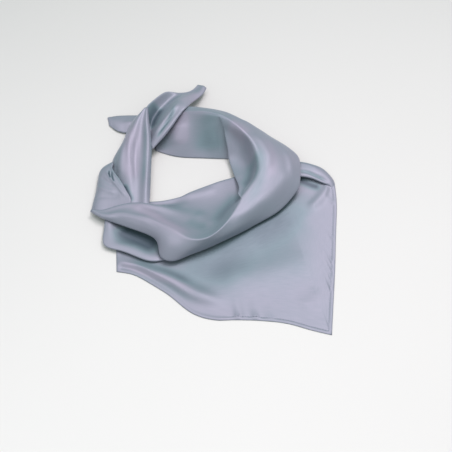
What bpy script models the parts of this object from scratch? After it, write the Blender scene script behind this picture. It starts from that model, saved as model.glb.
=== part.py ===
"""A square satin neck scarf, laid on a table.

The square is folded cornerwise into a soft band. The band lies in a loose ring with its two
ends crossed at the back left, and the third corner is spread out at the front right.

The model's frame: +X to the right, +Y away from the viewer, +Z up, origin on the table under
the middle of the scarf. The tables are in millimetres from a point near the ring's front, and
the meshes are in metres from the frame's origin.
"""

import math

import bmesh
import bpy
import numpy as np

# Driving dimensions, in millimetres
WALL = 1.0
SEAM_GAP = 0.3
BAND_TRIM = 0.6
CORE_GAP = 0.8
FOLD_RADIUS = 1.8
LIP_RADIUS = 1.6
TAIL_RADIUS = 1.5
ROLL_RADIUS = 1.4
TUCK = 5.0
SHORT_TUCK = 4.0
HEM_WIDTH = 4.5
HEM_THICKNESS = 1.6
ROW_STEP = 9.0
FEWEST_ROWS = 4
COLUMN_STEP = 8.0
PANEL_ROW_STEP = 10.0
PANEL_COLUMNS = 15
TO_METRES = 0.001

# A turned-over edge goes round in three steps, in degrees
FOLD_TURNS = (60, 120, 180)

# Section of a hem or folded edge: shares of its width and of its thickness
STRIP_PROFILE = ((0, 0), (0, 0.6), (0.2, 1), (0.8, 1), (1, 0.6), (1, 0))

# The hidden solids swell a little at half height, and stop some rows short of their sheet's ends
CORE_BULGE = 1.2
CORE_WAIST = 0.5
FRONT_CORE_ENDS = (4, 1)
RIGHT_CORE_ENDS = (2, 1)
LEFT_CORE_ENDS = (6, 2)
CORNER_CORE_ENDS = (2, 1)

# Where the frame's origin lies among the tables' own millimetres
MIDDLE = (-1.35, 10.05, 0.0)

SATIN_COLOUR = (0.42, 0.44, 0.54, 1.0)
HEM_COLOUR = (0.36, 0.38, 0.49, 1.0)
SATIN_ROUGHNESS = 0.38

# Each row is a section across the cloth and each column a named line along it: (x, y, z).

# The front of the ring, from its left corner to where the right-hand fold begins.
FRONT_COLUMNS = ("lip", "gutter", "rim", "trough", "crest", "shoulder", "foot")
FRONT = (
    ((-144.5, -4.5, 5), (-145, -5, 6.5), (-146, -6, 9.5), (-147, -6.5, 10), (-148, -7, 10),
     (-149, -7.5, 9), (-149.5, -8, 7)),
    ((-135.5, -4.5, 5), (-136, -6.5, 6.5), (-136.5, -8, 10.5), (-137, -10.5, 11),
     (-138, -13.5, 11.5), (-139, -15.8, 10.5), (-139.5, -16, 8)),
    ((-124, -1, 5), (-124.5, -3, 6.5), (-125, -4.8, 11.5), (-126, -10, 12), (-127.5, -15.5, 13),
     (-128.5, -20.5, 12), (-129, -21.5, 8.5)),
    ((-110, 3.5, 5), (-111, 1, 7), (-111.5, -1, 13), (-112.5, -7, 13), (-114.5, -14.5, 15),
     (-116.5, -22, 13), (-118, -25.3, 9)),
    ((-92, 8, 4), (-93, 4, 7), (-94, 1, 14), (-95, -6.8, 14), (-97, -19, 17.5),
     (-99.5, -28.5, 15), (-101, -33, 10)),
    ((-78, 8, 5), (-78, 3, 6), (-77.5, -0.5, 13.5), (-78, -9, 13), (-79.5, -26, 20),
     (-81, -37, 17), (-81.5, -42, 11)),
    ((-63, 9, 5), (-62.5, 2, 5), (-60.5, -3.5, 12.5), (-60.5, -13.4, 12), (-63.5, -36.4, 22),
     (-66.5, -48.6, 18), (-67.5, -54.7, 11)),
    ((-47.5, 12.7, 5.5), (-47, 4, 5), (-46, -5.5, 10.5), (-46, -15.7, 9.5), (-48.5, -46.3, 24),
     (-54.5, -64, 20), (-62, -74.3, 9)),
    ((-40, 15.3, 6), (-40, 7, 5.5), (-37, -6, 8.5), (-36, -19, 7.5), (-37.5, -54.5, 25),
     (-42, -69.3, 19), (-48, -79.2, 8.5)),
    ((-28, 21.8, 6.5), (-27, 12, 6), (-24, -6.2, 7.5), (-22, -25, 7), (-24, -61, 26),
     (-27, -68.6, 18), (-31, -72.4, 8)),
    ((-15.5, 27.6, 7), (-14, 18, 6.5), (-10, -5, 7), (-7, -25, 7.5), (-9, -59.5, 26.5),
     (-10, -62.6, 18), (-12, -63.7, 8)),
    ((0, 34.4, 7.5), (3, 24, 7), (8, 0.7, 7.5), (7, -16, 8.5), (6, -48, 27),
     (9, -52.3, 19), (12, -50.7, 8)),
    ((13, 40, 7), (16, 30, 7), (20, 9, 8), (17, -7, 10), (19, -29.3, 27.5),
     (27, -37.7, 21), (33, -38.2, 8)),
    ((30, 47, 6.5), (32, 36, 7), (33, 21, 8), (31, 5, 12), (31, -4.5, 28.5),
     (45, -19, 23), (54.5, -23.6, 8)),
)

# The right of the ring, from the front round to the top of the back.
RIGHT_COLUMNS = ("lip", "trough", "crest", "shoulder", "foot")
RIGHT = (
    ((28, 4, 27.5), (30, 0, 28), (31, -4.5, 28.5), (45, -19, 23), (54.5, -23.6, 8)),
    ((30, 18, 21), (33, 14, 22), (37.5, 7.4, 29.5), (57, -4.8, 24), (71.5, -12.3, 9)),
    ((28.5, 32, 15), (37, 30, 16), (45, 20.7, 30.5), (67, 7.5, 25), (84.5, 0, 10)),
    ((25, 44.7, 11), (37, 45, 12), (49.5, 29.8, 32.5), (75, 21, 27), (96.5, 15, 13)),
    ((21.5, 59, 8), (37, 58, 10), (51.5, 39.5, 33.5), (79, 35.4, 28), (102.5, 27, 16)),
    ((18, 72, 8), (35, 70, 11), (51, 48, 34.5), (79, 47.7, 29), (104, 40, 17)),
    ((17, 81, 14), (32, 80, 15), (49, 59, 36), (77, 59.4, 29.5), (104.3, 54.5, 16.5)),
    ((14.5, 90.6, 22), (29, 89, 22), (46, 70.8, 37.5), (72, 73.7, 29), (103, 70.7, 14)),
    ((12, 99.7, 29), (24, 95, 30), (41, 81.7, 39), (65, 86.7, 29), (95.5, 84.5, 10)),
    ((9, 106, 35), (19, 100.5, 36.5), (33, 93, 40), (55.5, 97.7, 29), (82.5, 96.6, 7)),
    ((6.5, 111.7, 39), (14, 108, 40), (23, 103.3, 41), (43.5, 106.8, 31), (69, 108, 5)),
)

# The roll along the top of the back, from the right to where the ends cross.
BACK_COLUMNS = ("lip", "crest", "shoulder", "foot")
BACK = (
    ((5.4, 112.9, 38.4), (21.8, 105.2, 40.7), (42.8, 108.4, 31), (68.5, 109.5, 5)),
    ((3, 114.5, 38.5), (10, 115, 40.5), (22, 122, 32), (44, 128, 4)),
    ((-3, 116, 38), (-1, 119, 40), (4, 129.5, 32), (16, 139, 4)),
    ((-19, 120.5, 35.5), (-18, 124, 38), (-17, 134, 32), (-13, 146, 4)),
    ((-37, 125.4, 28.5), (-36, 129, 30.5), (-36, 138, 27.5), (-35, 149, 4)),
    ((-55, 129, 20), (-55, 133, 21.5), (-56, 141, 19), (-57, 149, 4)),
    ((-72, 129.5, 13), (-73, 134, 14), (-74, 142, 12), (-75, 148, 4)),
)

# The inner face of the back, leaning from the table up to the roll.
WALL_COLUMNS = ("foot", "face", "top")
BACK_WALL = (
    ((24, 77, 1.5), (17, 92, 13), (9, 107, 30)),
    ((14, 77.5, 1.5), (10, 94, 15), (5, 113.5, 36)),
    ((0, 78, 1.5), (-2, 96, 16), (-5, 117, 35.7)),
    ((-20, 79, 1.5), (-20, 99, 16), (-20, 121.6, 33)),
    ((-40, 81, 1.5), (-39, 102, 14), (-38, 126.4, 26)),
    ((-58, 85, 1.5), (-57, 106, 10), (-56, 129.8, 17.6)),
    ((-75, 91, 1.5), (-74, 110, 6.5), (-73, 130.3, 10.8)),
)

# The hidden layers inside the back: the outline of each section, from the inner foot over.
BACK_FOLDS = (
    ((2, 83, 0), (2, 98, 13), (2, 117, 31), (2, 126, 32), (2, 133, 18), (2, 135, 0)),
    ((-20, 84, 0), (-20, 101, 14), (-20, 122, 30), (-20, 132, 31), (-20, 138.5, 18),
     (-20, 140, 0)),
    ((-38, 86, 0), (-38, 104, 12), (-38, 126.5, 23), (-38, 136, 26), (-38, 142, 15),
     (-38, 143, 0)),
    ((-56, 90, 0), (-56, 108, 8), (-56, 130, 15), (-56, 139.5, 17), (-56, 144.5, 9),
     (-56, 145, 0)),
    ((-70, 94, 0), (-70, 111, 5), (-70, 131, 9), (-70, 139.5, 10.5), (-70, 144.5, 6),
     (-70, 145, 0)),
)

# The left of the ring, from the pinch where it turns into the upper tail down to the front.
LEFT_COLUMNS = ("outer foot", "outer", "swell", "groove", "ridge", "inner")
LEFT = (
    ((-97, 138, 22), (-95.5, 137.5, 26), (-93.5, 137, 29), (-92, 137, 28.5), (-90.5, 137, 29.5),
     (-89, 137, 28)),
    ((-108, 124, 14), (-104, 123, 22), (-98, 122, 28), (-92.5, 121, 25.5), (-88.5, 121, 28),
     (-86, 121, 26)),
    ((-118, 99, 4), (-115, 98, 14), (-104, 96, 22), (-92.5, 94.5, 17), (-85, 94, 21),
     (-81, 93.5, 18)),
    ((-127.5, 76, 3), (-124, 73, 10), (-108, 71, 15), (-93, 70, 12), (-84, 70, 14.5),
     (-80, 70, 11)),
    ((-128, 48, 4), (-122, 48, 8), (-106, 47, 13.5), (-93, 47, 10.5), (-84.5, 47, 13.5),
     (-80, 47, 9.5)),
    ((-122, 26, 4.5), (-115, 26, 7.5), (-103, 26, 12), (-92.5, 26, 10), (-85, 26, 13),
     (-80, 26, 9)),
    ((-116, 6, 7.9), (-110, 6, 8.3), (-100, 5.5, 9.3), (-92, 5, 8.2), (-85.5, 5.5, 10.3),
     (-80.5, 5.5, 8.7)),
)

# The layer that folds round the left corner, over the left of the ring.
CORNER_COLUMNS = ("outer foot", "shoulder", "body", "edge")
CORNER = (
    ((-133, 67, 2), (-132.5, 64, 8), (-131, 62, 11.5), (-129.5, 60, 12)),
    ((-145, 53, 2), (-144, 52.4, 8), (-136, 47, 13), (-127, 45, 12.5)),
    ((-149, 40, 2), (-147.5, 39.4, 8), (-134, 35, 13), (-117.5, 33, 13.5)),
    ((-150, 23.5, 2), (-148.5, 23, 8), (-130, 19, 13), (-107.5, 17.5, 14)),
    ((-152, 8, 2), (-150.5, 8, 7), (-131, 6, 11.5), (-103, 9, 13.5)),
    ((-151.5, -3, 2), (-150, -3.8, 6), (-133, -4.2, 10.2), (-101, 4.4, 13.3)),
)

# The upper tail, from under the left of the ring out to its tip.
UPPER_TAIL_COLUMNS = ("rim", "trough", "ridge", "edge")
UPPER_TAIL = (
    ((-84, 101, 15.5), (-82, 95.5, 15.5), (-80, 89, 16), (-78, 84, 14)),
    ((-85, 117.5, 21.3), (-80, 112.3, 20), (-71, 99.8, 25), (-65, 96.6, 22)),
    ((-87, 135, 25.5), (-78, 134, 19), (-62, 119, 30), (-52, 115.1, 28)),
    ((-77.5, 149.6, 27), (-69, 147.7, 20), (-56, 134.5, 33), (-43, 127.6, 33)),
    ((-65, 167.4, 23), (-57, 165.4, 18), (-47, 151, 31), (-35, 139.1, 33)),
    ((-57, 174.7, 19), (-48, 171.4, 18), (-40, 164.6, 22), (-29, 154.6, 22)),
    ((-45, 176.2, 14), (-38, 174.2, 14), (-30, 170.8, 16), (-20, 168, 15)),
    ((-32, 182.3, 11), (-27, 182.3, 11), (-21, 178.9, 13), (-15.5, 177.6, 12)),
    ((-22, 193.7, 9), (-19, 192.7, 9), (-15, 190, 10), (-12, 188.7, 9)),
)

# The left tail, the back's end flat on the table, from under the ring out to its cut end.
LEFT_TAIL_COLUMNS = ("front", "middle", "back")
LEFT_TAIL = (
    ((-72.6, 129.3, 12.6), (-73.6, 135, 13.8), (-75, 143.5, 10.5)),
    ((-84, 124, 8.5), (-85, 133.5, 10.5), (-86, 143.5, 7.5)),
    ((-100, 117.5, 4), (-100.5, 132, 7), (-101, 145.5, 4)),
    ((-116, 118.3, 2.5), (-117, 131, 5.5), (-117.5, 146, 3)),
    ((-126, 122.8, 2.2), (-127, 134, 4.5), (-127.5, 145.4, 2.5)),
    ((-131.5, 128, 1.6), (-132.3, 137, 3), (-132.7, 144.8, 1.8)),
)

# The fold under the front's left half, from its left end to where it meets the front's foot.
UNDER_COLUMNS = ("inner", "middle", "edge")
UNDER_LAYER = (
    ((-122, -12, 5), (-126, -15, 5), (-131, -17, 4.2)),
    ((-112, -24, 5.5), (-123, -30, 5.5), (-132, -34, 4.5)),
    ((-95, -36, 6), (-113, -46, 6), (-129.5, -55, 4.7)),
    ((-85, -42, 6), (-97, -55, 6), (-110, -62.5, 4.7)),
    ((-74, -50, 6), (-82, -65, 5.5), (-90, -71, 4.5)),
    ((-66, -60, 5), (-70, -69, 5), (-73, -76.5, 4.2)),
    ((-56, -66, 4.5), (-58, -71, 4.5), (-60, -76.5, 4)),
)

# The turned-over edge at the panel's far right, from under the ring out to the hem.
ROLL_COLUMNS = ("back", "shoulder", "crest", "lip")
PANEL_ROLL = (
    ((99, 72, 1.5), (99.5, 69, 8), (99.5, 60, 11), (99, 47, 8)),
    ((108, 71, 1.5), (107.5, 68, 9.5), (107, 60, 12.8), (106.5, 46, 8)),
    ((121, 68, 1.5), (120, 64.7, 9), (119, 56, 12), (118, 43.5, 6.5)),
    ((133, 62.5, 1.5), (131.5, 59.4, 8), (130, 50, 10.5), (128.5, 39.5, 6)),
    ((143, 52, 1.5), (141, 50, 7), (139, 44, 8.5), (137, 37, 5)),
    ((148, 41, 1.5), (146.5, 40, 5), (145, 38, 6), (144, 35.5, 4)),
)

# The panel's outline on the table: the end under the ring and the end at the outer edge.
PANEL_LEFT = (
    ((-106, -46), (-107.5, -84.5)), ((-92, -54), (-92, -88.5)), ((-73, -63), (-69, -102.5)),
    ((-50, -71), (-45, -120.5)), ((-29, -67.5), (-22, -141)), ((-8, -59), (4, -149.5)),
    ((15, -43.5), (33, -150.5)), ((38, -32), (61, -152)), ((57, -18), (87, -156)),
    ((74, -4), (110, -163.5)), ((88, 9), (129.5, -169)),
)
PANEL_RIGHT = (
    ((88, 9), (129.5, -169)), ((93, 18), (133.5, -125)), ((96, 28), (137.5, -80)),
    ((97, 37), (141, -30)), ((97.5, 46), (144.5, 27)),
)

# The panel's soft folds: the two ends of each, its height and half its width.
PANEL_FOLDS = (
    ((-104, -72), (-92, -82), 5.0, 8.0), ((-92, -82), (-38, -110), 6.5, 8.5),
    ((-38, -110), (0, -128), 5.0, 11.0), ((20, -70), (120, -95), 3.0, 22.0),
    ((90, -20), (128, 4), 3.0, 10.0), ((60, -125), (120, -140), 2.5, 20.0),
)

# Where the panel's folded edge ends and its sewn lower hem begins.
HEM_START = 6.0
EDGE_FOLD_WIDTH = 6.0
EDGE_FOLD_THICKNESS = 2.3

# The folded edge comes out from under the ring this many columns in, and takes every fourth one
EDGE_FIRST_COLUMN = 6
EDGE_COLUMN_STEP = 4

# The panel's soft folds reach their full height this share of its width in from its edges
FOLD_FADE = 0.2


def spline(knots, values, places):
    """Natural cubic spline through the values at the knots, read at the places."""
    knots = np.asarray(knots, float)
    values = np.asarray(values, float)
    places = np.asarray(places, float)
    count = len(knots)
    steps = np.diff(knots)
    slopes = np.diff(values, axis=0) / steps[:, None]
    system = np.eye(count)
    target = np.zeros_like(values)
    for row in range(1, count - 1):
        system[row, row - 1] = steps[row - 1]
        system[row, row] = 2 * (steps[row - 1] + steps[row])
        system[row, row + 1] = steps[row]
        target[row] = 6 * (slopes[row] - slopes[row - 1])
    bends = np.linalg.solve(system, target)
    span = np.clip(np.searchsorted(knots, places, side="right") - 1, 0, count - 2)
    step = steps[span][:, None]
    left = ((knots[span + 1] - places)[:, None]) / step
    right = 1 - left
    bend = (left**3 - left) * bends[span] + (right**3 - right) * bends[span + 1]
    return left * values[span] + right * values[span + 1] + bend * step**2 / 6


def distances(points):
    """Distance of each point along the line through them."""
    steps = np.linalg.norm(np.diff(points, axis=0), axis=1)
    return np.concatenate([[0], np.cumsum(steps)])


def surface(table, names, trim_start=0.0, trim_end=0.0):
    """A smooth grid through a table of sections, and where each named column falls in it."""
    table = np.array(table, float)
    along = distances(table.reshape(len(table), -1) / math.sqrt(table.shape[1]))
    row_count = max(FEWEST_ROWS, round(along[-1] / ROW_STEP) + 1)
    places = np.linspace(trim_start, along[-1] - trim_end, row_count)
    columns = [spline(along, table[:, column], places) for column in range(table.shape[1])]
    sections = np.stack(columns, axis=1)
    spans = np.linalg.norm(np.diff(sections, axis=1), axis=2).mean(axis=0)
    parts = np.maximum(1, np.round(spans / COLUMN_STEP)).astype(int)
    marks = dict(zip(names, np.concatenate([[0], np.cumsum(parts)])))
    rows = []
    for section in sections:
        across = distances(section)
        stops = [across[:1]]
        for place, count in enumerate(parts):
            stops.append(np.linspace(across[place], across[place + 1], count + 1)[1:])
        rows.append(spline(across, section, np.concatenate(stops)))
    return np.array(rows), marks


def normals(grid):
    """Unit normal at each point of a grid, facing up on the whole."""
    along = np.gradient(grid, axis=0)
    across = np.gradient(grid, axis=1)
    normal = np.cross(along, across)
    normal /= np.linalg.norm(normal, axis=2, keepdims=True)
    if normal[:, :, 2].mean() < 0:
        normal = -normal
    return normal


def fold_under(grid, side, radius=FOLD_RADIUS, tuck=TUCK):
    """Carry one side of a grid round a half turn and back beneath itself."""
    normal = normals(grid)
    if side == "last":
        edge, inner, up = grid[:, -1], grid[:, -2], normal[:, -1]
    else:
        edge, inner, up = grid[:, 0], grid[:, 1], normal[:, 0]
    out = edge - inner
    out -= (out * up).sum(axis=1, keepdims=True) * up
    out /= np.linalg.norm(out, axis=1, keepdims=True)
    centre = edge - up * radius
    added = []
    for angle in FOLD_TURNS:
        turn = math.radians(angle)
        added.append(centre + radius * (up * math.cos(turn) + out * math.sin(turn)))
    added.append(added[-1] - out * tuck)
    added = np.stack(added, axis=1)
    if side == "last":
        return np.concatenate([grid, added], axis=1)
    return np.concatenate([added[:, ::-1], grid], axis=1)


def material(name, colour):
    """A plain cloth material."""
    made = bpy.data.materials.new(name)
    made.use_nodes = True
    shader = made.node_tree.nodes["Principled BSDF"]
    shader.inputs["Base Color"].default_value = colour
    shader.inputs["Roughness"].default_value = SATIN_ROUGHNESS
    return made


def add_object(name, points, faces, colour=SATIN_COLOUR):
    """Make a named object from points in the tables' millimetres."""
    mesh = bpy.data.meshes.new(name)
    placed = (np.asarray(points) - MIDDLE) * TO_METRES
    mesh.from_pydata(placed.tolist(), [], faces)
    mesh.validate()
    made = bpy.data.objects.new(name, mesh)
    collection.objects.link(made)
    mesh.materials.append(material(name + "_satin", colour))
    return made


def grid_faces(rows, columns, flip):
    """Quads between the rows and columns of a grid."""
    faces = []
    for row in range(rows - 1):
        for column in range(columns - 1):
            first = row * columns + column
            quad = (first, first + 1, first + columns + 1, first + columns)
            faces.append(quad[::-1] if flip else quad)
    return faces


def add_cloth(name, grid, colour=SATIN_COLOUR, wall=WALL):
    """A sheet of cloth with its outer face on the grid and its wall beneath it."""
    rows, columns = grid.shape[:2]
    middle = grid[:, columns // 4: 1 + 3 * columns // 4]
    turn = np.cross(np.gradient(middle, axis=0), np.gradient(middle, axis=1))
    flip = turn[:, :, 2].mean() > 0
    made = add_object(name, grid.reshape(-1, 3), grid_faces(rows, columns, flip), colour)
    solid = made.modifiers.new("Wall", "SOLIDIFY")
    solid.thickness = wall * TO_METRES
    solid.offset = -1.0
    solid.use_even_offset = True
    solid.use_quality_normals = True
    made.data.shade_smooth()
    return made


def loft(name, sections, colour=SATIN_COLOUR):
    """A closed solid through closed sections that all have the same number of points."""
    sections = np.array(sections, float)
    count, size = sections.shape[:2]
    faces = []
    for row in range(count - 1):
        for place in range(size):
            follow = (place + 1) % size
            first = row * size
            faces.append((first + place, first + follow, first + size + follow,
                          first + size + place))
    faces.append(tuple(range(size))[::-1])
    faces.append(tuple((count - 1) * size + place for place in range(size)))
    made = add_object(name, sections.reshape(-1, 3), faces, colour)
    tidy = bmesh.new()
    tidy.from_mesh(made.data)
    bmesh.ops.recalc_face_normals(tidy, faces=tidy.faces)
    tidy.to_mesh(made.data)
    tidy.free()
    made.data.shade_smooth()
    return made


def add_core(name, grid, ends, first, last):
    """The hidden layers under part of a sheet, as one rounded solid flat on the table."""
    lowered = grid - normals(grid) * (WALL + CORE_GAP)
    sections = []
    for row in range(ends[0], len(grid) - ends[1]):
        top = lowered[row, first:last + 1]
        sides = []
        for end, beside in ((top[-1], top[-2]), (top[0], top[1])):
            out = end - beside
            out[2] = 0
            out /= np.linalg.norm(out)
            middle = end + out * CORE_BULGE
            middle[2] = end[2] * CORE_WAIST
            floor = end.copy()
            floor[2] = 0
            sides.append((middle, floor))
        sections.append(np.array([*top, *sides[0], *sides[1][::-1]]))
    return loft(name, sections)


def add_strip(name, edge, width, thickness, colour=HEM_COLOUR, gap=SEAM_GAP):
    """A narrow rounded strip along an edge, a seam gap away on its right-hand side."""
    path = np.array(edge, float)
    ahead = np.diff(path[:, :2], axis=0)
    ahead /= np.linalg.norm(ahead, axis=1, keepdims=True)
    beside = np.stack([ahead[:, 1], -ahead[:, 0]], axis=1)
    before = np.concatenate([beside[:1], beside])
    after = np.concatenate([beside, beside[-1:]])
    mitre = (before + after) / (1 + (before * after).sum(axis=1, keepdims=True))
    path[0, :2] += ahead[0] * SEAM_GAP
    sections = []
    for point, side in zip(path, mitre):
        height = max(point[2] - WALL, 0)
        section = []
        for across, up in STRIP_PROFILE:
            flat = point[:2] + side * (gap + width * across)
            section.append((flat[0], flat[1], height + thickness * up))
        sections.append(section)
    return loft(name, sections, colour)


def fold_height(points):
    """Height of the panel's cloth above the table at each point."""
    height = np.zeros(points.shape[:2])
    flat = points[:, :, :2]
    for start, end, rise, half_width in PANEL_FOLDS:
        start = np.array(start, float)
        line = np.array(end, float) - start
        share = np.clip(((flat - start) @ line) / (line @ line), 0, 1)
        nearest = start + share[:, :, None] * line
        away = np.linalg.norm(flat - nearest, axis=2)
        height = np.maximum(height, rise * np.exp(-(away / half_width) ** 2))
    return height


def panel_surface(outline):
    """The panel's grid between the ring and the outer edge, with its soft folds."""
    table = np.array([[(x, y, WALL) for x, y in row] for row in outline], float)
    along = distances(table.reshape(len(table), -1) / math.sqrt(2))
    places = np.linspace(0, along[-1], round(along[-1] / PANEL_ROW_STEP) + 1)
    inner = spline(along, table[:, 0], places)
    outer = spline(along, table[:, 1], places)
    share = np.linspace(0, 1, PANEL_COLUMNS)[None, :, None]
    grid = inner[:, None] * (1 - share) + outer[:, None] * share
    fade = np.minimum(1, np.minimum(share, 1 - share) / FOLD_FADE)[:, :, 0]
    grid[:, :, 2] = WALL + fold_height(grid) * fade
    return grid


for stale in list(bpy.data.objects):
    bpy.data.objects.remove(stale, do_unlink=True)
collection = bpy.data.collections.new("neck_scarf")
bpy.context.scene.collection.children.link(collection)

front, front_marks = surface(FRONT, FRONT_COLUMNS, trim_end=BAND_TRIM)
right, right_marks = surface(RIGHT, RIGHT_COLUMNS, BAND_TRIM, BAND_TRIM)
back, _ = surface(BACK, BACK_COLUMNS)
back_wall, _ = surface(BACK_WALL, WALL_COLUMNS)
left, left_marks = surface(LEFT, LEFT_COLUMNS)
corner, corner_marks = surface(CORNER, CORNER_COLUMNS)
upper_tail, _ = surface(UPPER_TAIL, UPPER_TAIL_COLUMNS)
left_tail, _ = surface(LEFT_TAIL, LEFT_TAIL_COLUMNS)
under_layer, _ = surface(UNDER_LAYER, UNDER_COLUMNS)
panel_roll, _ = surface(PANEL_ROLL, ROLL_COLUMNS)

add_cloth("front_band", fold_under(fold_under(front, "first", LIP_RADIUS), "last"))
add_cloth("right_band", fold_under(right, "last"))
add_cloth("back_roll", back)
add_cloth("back_wall", back_wall)
add_cloth("left_band", left)
add_cloth("corner_layer", corner)
add_cloth("upper_tail", fold_under(upper_tail, "last", TAIL_RADIUS, SHORT_TUCK))
add_cloth("left_tail", left_tail)
add_cloth("under_layer", under_layer)
add_cloth("panel_roll", fold_under(panel_roll, "last", ROLL_RADIUS, SHORT_TUCK))

panel_left = panel_surface(PANEL_LEFT)
panel_right = panel_surface(PANEL_RIGHT)
add_cloth("point_panel", np.concatenate([panel_left, panel_right[1:]]))

add_core("folds_front", front, FRONT_CORE_ENDS, front_marks["rim"] + 1,
         front_marks["crest"] - 1)
add_core("folds_right", right, RIGHT_CORE_ENDS, right_marks["trough"], right_marks["shoulder"])
add_core("folds_left", left, LEFT_CORE_ENDS, left_marks["outer"], left_marks["ridge"])
add_core("folds_corner", corner, CORNER_CORE_ENDS, corner_marks["shoulder"],
         corner_marks["body"])
loft("folds_back", BACK_FOLDS)

side_edge = panel_left[0, EDGE_FIRST_COLUMN::EDGE_COLUMN_STEP]
outer_edge = np.concatenate([side_edge, panel_left[1:, -1]])
turn = int(np.argmax(outer_edge[:, 0] > HEM_START))
add_strip("edge_fold", outer_edge[:turn + 1], EDGE_FOLD_WIDTH, EDGE_FOLD_THICKNESS,
          SATIN_COLOUR, gap=2 * SEAM_GAP)
add_strip("hem_lower", outer_edge[turn:], HEM_WIDTH, HEM_THICKNESS)
add_strip("hem_right", panel_right[:, -1], HEM_WIDTH, HEM_THICKNESS)
add_strip("hem_left_tail", left_tail[-1, ::-1], HEM_WIDTH, HEM_THICKNESS)
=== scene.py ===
# %% [markdown]
# # A satin neck scarf laid on a table
#
# The real thing is one square of thin satin with a narrow sewn hem. Somebody folded it
# cornerwise into a soft band, laid the band in a loose ring with its ends crossed, and spread
# the third corner out in front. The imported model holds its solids. This lesson puts thin cloth
# in their place: finer folds, turned edges, a stitched hem and a satin that shines.

# %% Load the frame
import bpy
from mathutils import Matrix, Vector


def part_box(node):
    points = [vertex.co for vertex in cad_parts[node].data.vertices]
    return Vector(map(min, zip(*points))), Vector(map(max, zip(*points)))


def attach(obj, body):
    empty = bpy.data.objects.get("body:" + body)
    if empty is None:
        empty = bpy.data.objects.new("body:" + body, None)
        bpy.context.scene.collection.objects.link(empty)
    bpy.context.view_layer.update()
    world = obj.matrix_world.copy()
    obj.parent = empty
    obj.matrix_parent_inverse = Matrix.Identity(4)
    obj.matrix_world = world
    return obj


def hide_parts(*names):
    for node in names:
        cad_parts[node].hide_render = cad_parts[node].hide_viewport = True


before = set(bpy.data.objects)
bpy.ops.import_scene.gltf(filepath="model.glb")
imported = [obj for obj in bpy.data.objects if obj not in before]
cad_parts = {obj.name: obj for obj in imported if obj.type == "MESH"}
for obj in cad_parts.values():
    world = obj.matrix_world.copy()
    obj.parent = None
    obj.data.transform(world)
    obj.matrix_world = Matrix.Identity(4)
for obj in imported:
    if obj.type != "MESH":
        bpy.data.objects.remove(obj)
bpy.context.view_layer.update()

# %% [markdown]
# Every size below is in millimetres, which suits a scarf, and is turned into metres only when
# a mesh is made. The tables share one starting point near the ring's front, and MIDDLE says
# where the frame's origin lies among them.

# %% Units and cloth sizes
import math

import bmesh
import bpy
import numpy as np
from mathutils import Matrix, Vector

TO_METRES = 0.001
MIDDLE = np.array((-1.35, 10.05, 0.0))
CLOTH = 0.6
ROW_STEP = 2.2
COLUMN_STEP = 1.6
FOLD_RADIUS = 1.7
TUCK = 5.0
HEM_WIDTH = 4.6
STITCH_LIFT = 0.12


def in_metres(points):
    """Points of the tables as points of the frame, in metres."""
    return (np.asarray(points, float) - MIDDLE) * TO_METRES


def table_points(mesh):
    """A mesh's points as points of the tables, in millimetres."""
    points = np.empty(len(mesh.vertices) * 3)
    mesh.vertices.foreach_get("co", points)
    return points.reshape(-1, 3) / TO_METRES + MIDDLE


def new_object(name, data):
    """An object in the scene that shows the data."""
    made = bpy.data.objects.new(name, data)
    bpy.context.scene.collection.objects.link(made)
    return made


print(f"cloth {CLOTH} mm thick, hem {HEM_WIDTH} mm wide")

# %% [markdown]
# ## From a short table to a smooth cloth
#
# A fold is drawn as a row of named points across the cloth, and a few such rows along it are
# enough. A natural cubic spline runs through them both ways, as a strip of bent wood would.
# Subdivision of a coarse cage would also be smooth, but it shrinks away from the points, and
# here the points are where the folds really lie.

# %% Splines and cloth grids
def spline(knots, values, places):
    """Natural cubic spline through the values at the knots, read at the places."""
    knots = np.asarray(knots, float)
    values = np.asarray(values, float)
    places = np.asarray(places, float)
    count = len(knots)
    steps = np.diff(knots)
    slopes = np.diff(values, axis=0) / steps[:, None]
    system = np.eye(count)
    target = np.zeros_like(values)
    for row in range(1, count - 1):
        system[row, row - 1] = steps[row - 1]
        system[row, row] = 2 * (steps[row - 1] + steps[row])
        system[row, row + 1] = steps[row]
        target[row] = 6 * (slopes[row] - slopes[row - 1])
    bends = np.linalg.solve(system, target)
    span = np.clip(np.searchsorted(knots, places, side="right") - 1, 0, count - 2)
    step = steps[span][:, None]
    left = ((knots[span + 1] - places)[:, None]) / step
    right = 1 - left
    bend = (left**3 - left) * bends[span] + (right**3 - right) * bends[span + 1]
    return left * values[span] + right * values[span + 1] + bend * step**2 / 6


def smooth(share):
    """A share from 0 to 1 that starts and ends level."""
    return share * share * (3 - 2 * share)


def distances(points):
    """Distance of each point along the line through them."""
    steps = np.linalg.norm(np.diff(points, axis=0), axis=1)
    return np.concatenate([[0], np.cumsum(steps)])


def row_knots(table):
    """How far along the cloth each row of a table lies."""
    table = np.array(table, float)
    return distances(table.reshape(len(table), -1) / math.sqrt(table.shape[1]))


def row_places(first, last):
    """Evenly spaced places along the cloth, about ROW_STEP apart."""
    return np.linspace(first, last, max(4, round((last - first) / ROW_STEP) + 1))


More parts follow.
